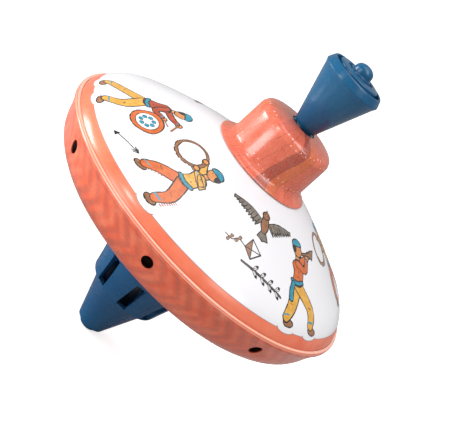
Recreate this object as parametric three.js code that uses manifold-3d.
// Pump humming top, standing upright on its nose.
// Millimetres, +Z up the spin axis, origin at the bottom of the nose.

import * as THREE from 'three';
import { mergeVertices } from 'three/addons/utils/BufferGeometryUtils.js';
import Module from 'manifold-3d';

const wasm = await Module();
wasm.setup();

// ---------------------------------------------------------------- driving dimensions

const SHEET = 0.6;                 // tinplate, as drawn
const GAP = 0.3;                   // clearance between pieces that meet
const SEAM_Z = 95;                 // middle of the curled seam
const FOOT_Z = 2.9;                // underside of the foot
const SEAT_Z = 53;                 // underside of the lower shell where the foot meets it
const HUB_TOP_Z = 157;             // top of the hub cap

const HOLE_COUNT = 8;              // humming holes
const HOLE_DIAMETER = 6.2;
const HOLE_Z = SEAM_Z - 8.6;
const HOLE_START_DEG = -91.4;

const SLOT_COUNT = 8;              // air slots in the foot
const SLOT_WIDTH = 5.8;
const SLOT_BOTTOM_Z = 30.8;
const SLOT_TOP_Z = 48.2;
const SLOT_START_DEG = -76.6;

const STRIP_WIDTH = 6;             // twisted rod
const STRIP_THICKNESS = 1.6;
const STRIP_PITCH = 40;
const STRIP_BOTTOM_Z = 36;
const STRIP_TOP_Z = 155.1;

const TEETH = 8;                   // ratchet
const TOOTH_HEIGHT = 1.2;
const TOOTH_INNER_RADIUS = 6.5;
const PLATE_TOP_Z = 138.2;
const NUT_BOTTOM_Z = 141.4;
const NUT_HEIGHT = 4;
const NUT_RADIUS = 11;

const TUBE_OUTER = 6.6;
const TUBE_INNER = 6.0;
const TUBE_BOTTOM_Z = 9;
const TUBE_TOP_Z = 130.6;

const REED_COUNT = 6;
const REED_PLATE_Z = 55.7;
const REED_PLATE_THICKNESS = 2;
const REED_PLATE_RADIUS = 26;
const REED_THICKNESS = 0.35;
const REED_WIDTH = 4.2;
const REED_ROOT_RADIUS = 10.2;
const RIVET_RADIUS_AT = 11.6;      // how far the rivets are from the axis
const RIVET_HOLE_RADIUS = 1;
const RIVET_HEAD_RADIUS = 1.4;
const RIVET_SHANK_RADIUS = 0.68;
const REED_LENGTHS = [13.4, 12.6, 11.8, 11.0, 10.2, 9.4];

const SHELL_SEGMENTS = 64;
const CUP_SEGMENTS = 40;
const SMALL_SEGMENTS = 24;
const TINY_SEGMENTS = 8;

// ---------------------------------------------------------------- helpers

const DEG = Math.PI / 180;

// Welds a geometry's corners and drops every attribute but position.
function weld(geometry) {
  const plain = geometry.clone();
  plain.deleteAttribute('normal');
  plain.deleteAttribute('uv');
  return mergeVertices(plain, 1e-5);
}

// Drops triangles that have shrunk to a line, which the poles of a lathe leave.
function dropSlivers(geometry) {
  const index = geometry.index.array;
  const kept = [];
  for (let i = 0; i < index.length; i += 3) {
    const [a, b, c] = [index[i], index[i + 1], index[i + 2]];
    if (a !== b && b !== c && c !== a) {
      kept.push(a, b, c);
    }
  }
  geometry.setIndex(kept);
  return geometry;
}

function signedVolume(geometry) {
  const position = geometry.attributes.position;
  const index = geometry.index.array;
  const a = new THREE.Vector3();
  const b = new THREE.Vector3();
  const c = new THREE.Vector3();
  let total = 0;
  for (let i = 0; i < index.length; i += 3) {
    a.fromBufferAttribute(position, index[i]);
    b.fromBufferAttribute(position, index[i + 1]);
    c.fromBufferAttribute(position, index[i + 2]);
    total += a.dot(b.cross(c)) / 6;
  }
  return total;
}

// Returns a welded closed body whose faces point out.
function solid(geometry) {
  const body = dropSlivers(weld(geometry));
  if (signedVolume(body) < 0) {
    const index = body.index.array;
    for (let i = 0; i < index.length; i += 3) {
      [index[i + 1], index[i + 2]] = [index[i + 2], index[i + 1]];
    }
  }
  return body;
}

// Revolves [radius, z] pairs about the Z axis. A ring's profile closes on itself.
function revolve(profile, segments, ring = true) {
  const points = profile.map(([r, z]) => new THREE.Vector2(r, z));
  if (ring) {
    points.push(points[0].clone());
  }
  const geometry = new THREE.LatheGeometry(points, segments);
  geometry.rotateX(Math.PI / 2);
  return solid(geometry);
}

// A sheet part: one skin, then the same skin set over by the thickness, to the left of the run.
function sheetProfile(outer, thickness) {
  const inner = outer.map((point, i) => {
    const before = outer[Math.max(i - 1, 0)];
    const after = outer[Math.min(i + 1, outer.length - 1)];
    const dr = after[0] - before[0];
    const dz = after[1] - before[1];
    const length = Math.hypot(dr, dz);
    return [point[0] - (dz / length) * thickness, point[1] + (dr / length) * thickness];
  });
  return [...outer, ...inner.reverse()];
}

function toManifold(geometry) {
  const vertProperties = new Float32Array(geometry.attributes.position.array);
  const triVerts = new Uint32Array(geometry.index.array);
  return new wasm.Manifold(new wasm.Mesh({ numProp: 3, vertProperties, triVerts }));
}

function fromManifold(manifold) {
  const mesh = manifold.getMesh();
  const geometry = new THREE.BufferGeometry();
  geometry.setAttribute('position', new THREE.BufferAttribute(mesh.vertProperties, 3));
  geometry.setIndex(new THREE.BufferAttribute(mesh.triVerts, 1));
  return geometry;
}

function subtract(body, cutters) {
  let result = toManifold(body);
  for (const cutter of cutters) {
    result = result.subtract(toManifold(cutter));
  }
  return fromManifold(result);
}

function join(parts) {
  let result = toManifold(parts[0]);
  for (const part of parts.slice(1)) {
    result = result.add(toManifold(part));
  }
  return fromManifold(result);
}

// A cylinder along +X from x0 to x1, turned about Z and lifted to z.
function radialCylinder(radius, x0, x1, z, angle, segments) {
  const geometry = new THREE.CylinderGeometry(radius, radius, x1 - x0, segments);
  geometry.rotateZ(Math.PI / 2);
  geometry.translate((x0 + x1) / 2, 0, z);
  geometry.rotateZ(angle);
  return solid(geometry);
}

// A block along +X, turned about Z.
function radialBlock(x0, x1, width, z0, z1, angle) {
  const geometry = new THREE.BoxGeometry(x1 - x0, width, z1 - z0);
  geometry.translate((x0 + x1) / 2, 0, (z0 + z1) / 2);
  geometry.rotateZ(angle);
  return solid(geometry);
}

function disc(radius, z0, z1, segments) {
  return revolve([[0, z0], [radius, z0], [radius, z1], [0, z1]], segments, false);
}

function washer(inner, outer, z0, z1, segments) {
  return revolve([[inner, z0], [outer, z0], [outer, z1], [inner, z1]], segments);
}

// A flat strip twisted about Z, left-handed, from z0 to z1.
function twistedStrip(width, thickness, z0, z1, steps) {
  const corners = [
    [width / 2, -thickness / 2],
    [width / 2, thickness / 2],
    [0, thickness / 2],
    [-width / 2, thickness / 2],
    [-width / 2, -thickness / 2],
    [0, -thickness / 2],
  ];
  const count = corners.length;
  const positions = [];
  for (let i = 0; i <= steps; i += 1) {
    const z = z0 + ((z1 - z0) * i) / steps;
    const turn = (-2 * Math.PI * z) / STRIP_PITCH;
    for (const [x, y] of corners) {
      positions.push(
        x * Math.cos(turn) - y * Math.sin(turn),
        x * Math.sin(turn) + y * Math.cos(turn),
        z,
      );
    }
  }
  const index = [];
  for (let i = 0; i < steps; i += 1) {
    for (let j = 0; j < count; j += 1) {
      const a = i * count + j;
      const b = i * count + ((j + 1) % count);
      index.push(a, b, a + count, b, b + count, a + count);
    }
  }
  const top = steps * count;
  for (let j = 1; j < count - 1; j += 1) {
    index.push(0, j + 1, j);
    index.push(top, top + j, top + j + 1);
  }
  const geometry = new THREE.BufferGeometry();
  geometry.setAttribute('position', new THREE.Float32BufferAttribute(positions, 3));
  geometry.setIndex(index);
  return solid(geometry);
}

// One saw tooth: a wedge that rises along the turn and drops square, laid along +X.
function toothWedge(x0, x1, run, rootZ, tipZ, angle) {
  const shape = new THREE.Shape();
  const overlap = rootZ < tipZ ? -GAP : GAP;
  shape.moveTo(0, rootZ + overlap);
  shape.lineTo(run, rootZ + overlap);
  shape.lineTo(run, tipZ);
  shape.lineTo(0, rootZ);
  shape.closePath();
  const geometry = new THREE.ExtrudeGeometry(shape, { depth: x1 - x0, bevelEnabled: false });
  geometry.rotateX(Math.PI / 2);
  geometry.rotateZ(Math.PI / 2);
  geometry.translate(x0, 0, 0);
  geometry.rotateZ(angle);
  return solid(geometry);
}

function toothedRing(ring, x0, x1, rootZ, tipZ, phase) {
  const run = ((2 * Math.PI * x0) / TEETH) * 0.8;
  const teeth = [];
  for (let i = 0; i < TEETH; i += 1) {
    teeth.push(toothWedge(x0, x1, run, rootZ, tipZ, phase + (i * 2 * Math.PI) / TEETH));
  }
  return join([ring, ...teeth]);
}

// ---------------------------------------------------------------- finishes

const FINISHES = {
  print_white: { color: 0xf3f2f4, roughness: 0.18, metalness: 0.0 },
  print_coral: { color: 0xe9684c, roughness: 0.28, metalness: 0.0 },
  knob_blue: { color: 0x2a6492, roughness: 0.35, metalness: 0.0 },
  bare_tin: { color: 0xb9bcbf, roughness: 0.35, metalness: 0.9 },
  reed_brass: { color: 0xc9a24a, roughness: 0.3, metalness: 0.9 },
  inner_plastic: { color: 0xe6e2d8, roughness: 0.5, metalness: 0.0 },
  soft_seal: { color: 0x3a3a3c, roughness: 0.9, metalness: 0.0 },
};

const group = new THREE.Group();
group.name = 'humming_top';

function addPart(name, geometry, finish) {
  const body = dropSlivers(weld(geometry));
  body.computeVertexNormals();
  const mesh = new THREE.Mesh(body, new THREE.MeshStandardMaterial(FINISHES[finish]));
  mesh.name = name;
  group.add(mesh);
}

// ---------------------------------------------------------------- shells and seam

// Dome, from the flange in the seam to the opening under the hub.
const domeSkin = [
  [88.8, SEAM_Z - 0.1],
  [88.3, SEAM_Z],
  [88.1, SEAM_Z + 0.6],
  [87.9, SEAM_Z + 1.8],
  [86.9, SEAM_Z + 3.8],
  [85.5, SEAM_Z + 5.8],
  [83.9, SEAM_Z + 7.8],
  [81.4, SEAM_Z + 10.0],
  [77.6, SEAM_Z + 12.4],
  [68.4, SEAM_Z + 16.9],
  [55.8, SEAM_Z + 22.8],
  [41.4, SEAM_Z + 28.8],
  [21.5, SEAM_Z + 35.8],
];

addPart('upper_shell', revolve(sheetProfile(domeSkin, SHEET), SHELL_SEGMENTS), 'print_white');

// Lower shell, from the opening over the foot to the seam.
const lowerSkin = [
  [19.5, SEAT_Z],
  [28.5, SEAT_Z + 0.4],
  [71.0, SEAM_Z - 24.8],
  [78.6, SEAM_Z - 21.0],
  [83.2, SEAM_Z - 16.8],
  [85.6, SEAM_Z - 12.4],
  [86.8, SEAM_Z - 8.8],
  [89.0, SEAM_Z - 3.0],
];

// The rim curled over the dome's flange, outside then inside.
const curl = [
  [89.75, SEAM_Z - 2.1],
  [90.0, SEAM_Z - 1.6],
  [90.0, SEAM_Z + 0.1],
  [89.75, SEAM_Z + 0.65],
  [89.2, SEAM_Z + 0.95],
  [88.65, SEAM_Z + 0.95],
  [88.65, SEAM_Z + 0.45],
  [89.1, SEAM_Z + 0.4],
  [89.4, SEAM_Z],
  [89.4, SEAM_Z - 1.5],
  [89.1, SEAM_Z - 2.0],
];

function lowerProfile() {
  const sheet = sheetProfile(lowerSkin, SHEET);
  const outside = sheet.slice(0, lowerSkin.length);
  const inside = sheet.slice(lowerSkin.length);
  return [...outside, ...curl, ...inside];
}

const hummingHoles = [];
for (let i = 0; i < HOLE_COUNT; i += 1) {
  const angle = HOLE_START_DEG * DEG + (i * 2 * Math.PI) / HOLE_COUNT;
  hummingHoles.push(radialCylinder(HOLE_DIAMETER / 2, 80, 95, HOLE_Z, angle, 16));
}

addPart('lower_shell', subtract(revolve(lowerProfile(), SHELL_SEGMENTS), hummingHoles), 'print_coral');

// ---------------------------------------------------------------- hub

const hubSkin = [
  [28.3, SEAM_Z + 34.4],
  [27.6, SEAM_Z + 35.0],
  [25.4, SEAM_Z + 36.1],
  [24.0, SEAM_Z + 37.2],
  [23.3, SEAM_Z + 38.4],
  [22.95, SEAM_Z + 40.4],
  [22.8, SEAM_Z + 54.6],
  [22.4, SEAM_Z + 57.2],
  [21.2, SEAM_Z + 59.2],
  [18.6, SEAM_Z + 60.5],
  [13.0, SEAM_Z + 61.6],
  [7.3, HUB_TOP_Z],
];

// The foot of the cap is rolled under, so the flange is thicker than the sheet.
function hubProfile() {
  const inner = [
    [27.95, SEAM_Z + 33.9],
    [27.2, SEAM_Z + 34.45],
    [25.0, SEAM_Z + 35.6],
    [23.5, SEAM_Z + 36.8],
    [22.75, SEAM_Z + 38.2],
    [22.35, SEAM_Z + 40.4],
    [22.2, SEAM_Z + 54.5],
    [21.85, SEAM_Z + 56.9],
    [20.85, SEAM_Z + 58.6],
    [18.45, SEAM_Z + 59.85],
    [12.9, SEAM_Z + 60.95],
    [7.3, HUB_TOP_Z - SHEET],
  ];
  return [...inner, ...hubSkin.slice().reverse()];
}

addPart('hub_cap', revolve(hubProfile(), CUP_SEGMENTS), 'print_coral');

addPart('dome_clamp_ring', revolve([
  [21.5, SEAM_Z + 34.0],
  [21.5, SEAM_Z + 32.8],
  [27.5, SEAM_Z + 30.6],
  [27.5, SEAM_Z + 31.8],
], CUP_SEGMENTS), 'bare_tin');

addPart('guide_bush', revolve([
  [3.7, 149.6],
  [6.6, 149.6],
  [6.6, 152.4],
  [9.6, 152.4],
  [9.6, 155.6],
  [6.8, 155.9],
  [6.8, 156.8],
  [5.2, 156.8],
  [5.2, 154.6],
  [3.7, 154.6],
], SMALL_SEGMENTS), 'knob_blue');

// ---------------------------------------------------------------- clutch

addPart('nut_cage', revolve([
  [4.3, 133.6],
  [16.2, 133.6],
  [18.4, 135.4],
  [18.4, 150.0],
  [21.2, 151.6],
  [21.2, 152.4],
  [18.0, 152.4],
  [17.4, 150.4],
  [17.4, 136.0],
  [15.8, 134.8],
  [4.3, 134.8],
], SMALL_SEGMENTS), 'bare_tin');

const plateRing = washer(4.3, 14, 135.2, PLATE_TOP_Z, SMALL_SEGMENTS);
addPart(
  'clutch_plate',
  toothedRing(plateRing, TOOTH_INNER_RADIUS, 10.8, PLATE_TOP_Z, PLATE_TOP_Z + TOOTH_HEIGHT, 0),
  'inner_plastic',
);

const nutRing = disc(NUT_RADIUS, NUT_BOTTOM_Z, NUT_BOTTOM_Z + NUT_HEIGHT, SMALL_SEGMENTS);
const nutToothed = toothedRing(
  nutRing,
  TOOTH_INNER_RADIUS,
  10.6,
  NUT_BOTTOM_Z,
  NUT_BOTTOM_Z - TOOTH_HEIGHT,
  0.2,
);
const nutSlot = twistedStrip(STRIP_WIDTH + 0.8, STRIP_THICKNESS + 0.8, 138, 148, 12);
addPart('drive_nut', subtract(nutToothed, [nutSlot]), 'reed_brass');

// ---------------------------------------------------------------- rod and knob

addPart(
  'spiral_rod',
  twistedStrip(STRIP_WIDTH, STRIP_THICKNESS, STRIP_BOTTOM_Z, STRIP_TOP_Z, 60),
  'bare_tin',
);

addPart('rod_stop_washer', revolve([
  [0, 32.6],
  [5.0, 32.6],
  [5.5, 33.1],
  [5.5, 35.2],
  [5.0, 35.7],
  [0, 35.7],
], SMALL_SEGMENTS, false), 'bare_tin');

addPart('rod_head', revolve([
  [0, 155.4],
  [4.6, 155.4],
  [4.6, 157.2],
  [2.9, 157.2],
  [2.9, 165.6],
  [3.9, 165.9],
  [3.6, 167.0],
  [2.2, 167.8],
  [0, 168.0],
], SMALL_SEGMENTS, false), 'bare_tin');

addPart('knob', revolve([
  [3.25, 157.6],
  [6.0, 157.6],
  [6.45, 158.0],
  [16.2, 187.0],
  [17.0, 188.6],
  [17.0, 189.3],
  [15.6, 192.5],
  [14.9, 193.0],
  [14.3, 192.7],
  [14.2, 189.6],
  [14.3, 187.2],
  [7.6, 166.6],
  [6.8, 163.8],
  [3.25, 163.8],
], CUP_SEGMENTS), 'knob_blue');

addPart('knob_washer', washer(3.2, 5.6, 164.1, 165.3, SMALL_SEGMENTS), 'bare_tin');

addPart('knob_plug', revolve([
  [0, 187.6],
  [11.6, 187.6],
  [13.5, 189.9],
  [13.5, 190.9],
  [12.3, 191.2],
  [12.2, 193.3],
  [11.6, 193.9],
  [8.3, 194.4],
  [7.9, 193.4],
  [6.2, 193.4],
  [6.0, 194.9],
  [5.2, 195.2],
  [5.0, 196.9],
  [3.7, 198.5],
  [1.9, 199.4],
  [0, 199.7],
], CUP_SEGMENTS, false), 'knob_blue');

// ---------------------------------------------------------------- tube

addPart('guide_tube', washer(TUBE_INNER, TUBE_OUTER, TUBE_BOTTOM_Z, TUBE_TOP_Z, SMALL_SEGMENTS), 'bare_tin');

addPart('tube_plug', revolve([
  [2.8, TUBE_BOTTOM_Z + GAP],
  [5.7, TUBE_BOTTOM_Z + GAP],
  [5.7, 16.6],
  [0, 16.6],
  [0, 14.6],
  [2.8, 14.6],
], SMALL_SEGMENTS), 'inner_plastic');

addPart('tube_collar', washer(6.9, 9.2, 59.6, 63.2, SMALL_SEGMENTS), 'bare_tin');

// ---------------------------------------------------------------- reeds

addPart(
  'gasket_ring',
  washer(20.5, REED_PLATE_RADIUS, SEAT_Z + 1.15, REED_PLATE_Z - GAP, CUP_SEGMENTS),
  'soft_seal',
);

const plateTop = REED_PLATE_Z + REED_PLATE_THICKNESS;
const reedAngles = REED_LENGTHS.map((_, i) => (i * 2 * Math.PI) / REED_COUNT);

const plateCutters = reedAngles.flatMap((angle, i) => {
  const window = radialBlock(
    REED_ROOT_RADIUS + 3.2,
    REED_ROOT_RADIUS + REED_LENGTHS[i] - 0.4,
    REED_WIDTH - 1,
    REED_PLATE_Z - 1,
    plateTop + 1,
    angle,
  );
  const hole = disc(RIVET_HOLE_RADIUS, REED_PLATE_Z - 1, plateTop + 1, TINY_SEGMENTS);
  hole.translate(RIVET_RADIUS_AT * Math.cos(angle), RIVET_RADIUS_AT * Math.sin(angle), 0);
  return [window, hole];
});

addPart(
  'reed_plate',
  subtract(washer(6.9, REED_PLATE_RADIUS, REED_PLATE_Z, plateTop, CUP_SEGMENTS), plateCutters),
  'inner_plastic',
);

reedAngles.forEach((angle, i) => {
  const z0 = plateTop + GAP;
  const reedTop = z0 + REED_THICKNESS;
  const tongue = radialBlock(
    REED_ROOT_RADIUS,
    REED_ROOT_RADIUS + REED_LENGTHS[i],
    REED_WIDTH,
    z0,
    reedTop,
    angle,
  );
  const hole = disc(RIVET_HOLE_RADIUS, z0 - 1, z0 + 1, TINY_SEGMENTS);
  const x = RIVET_RADIUS_AT * Math.cos(angle);
  const y = RIVET_RADIUS_AT * Math.sin(angle);
  hole.translate(x, y, 0);
  addPart(`reed_${i + 1}`, subtract(tongue, [hole]), 'reed_brass');

  const rivet = revolve([
    [0, REED_PLATE_Z - 3 * GAP],
    [RIVET_HEAD_RADIUS, REED_PLATE_Z - 3 * GAP],
    [RIVET_HEAD_RADIUS, REED_PLATE_Z - GAP],
    [RIVET_SHANK_RADIUS, REED_PLATE_Z - GAP],
    [RIVET_SHANK_RADIUS, reedTop + GAP],
    [RIVET_HEAD_RADIUS, reedTop + GAP],
    [1.0, reedTop + 0.85],
    [0, reedTop + 0.85],
  ], TINY_SEGMENTS, false);
  rivet.translate(x, y, 0);
  addPart(`reed_rivet_${i + 1}`, rivet, 'bare_tin');
});

// ---------------------------------------------------------------- foot and nose

const footBody = revolve([
  [2.8, FOOT_Z],
  [7.7, FOOT_Z],
  [8.2, FOOT_Z + 0.5],
  [17.7, 29.2],
  [20.4, 29.6],
  [21.1, 30.6],
  [22.4, 36.0],
  [24.4, 43.0],
  [26.6, 49.4],
  [27.8, 52.0],
  [27.8, SEAT_Z - GAP],
  [19.1, SEAT_Z - GAP],
  [19.1, 54.4],
  [17.4, 54.4],
  [17.4, 50.6],
  [22.6, 48.4],
  [20.3, 36.6],
  [19.0, 31.4],
  [15.6, 29.4],
  [7.2, 8.6],
  [2.8, 8.6],
], CUP_SEGMENTS);

const footSlots = [];
for (let i = 0; i < SLOT_COUNT; i += 1) {
  const angle = SLOT_START_DEG * DEG + (i * 2 * Math.PI) / SLOT_COUNT;
  footSlots.push(radialBlock(18.2, 30, SLOT_WIDTH, SLOT_BOTTOM_Z, SLOT_TOP_Z, angle));
}

addPart('foot_cone', subtract(footBody, footSlots), 'knob_blue');

addPart('tip_button', revolve([
  [0, 0],
  [4.2, 0],
  [4.9, 0.4],
  [5.2, 1.2],
  [5.2, 2.6],
  [2.5, 2.6],
  [2.5, 13.6],
  [2.0, 14.2],
  [0, 14.2],
], SMALL_SEGMENTS, false), 'knob_blue');

export default group;
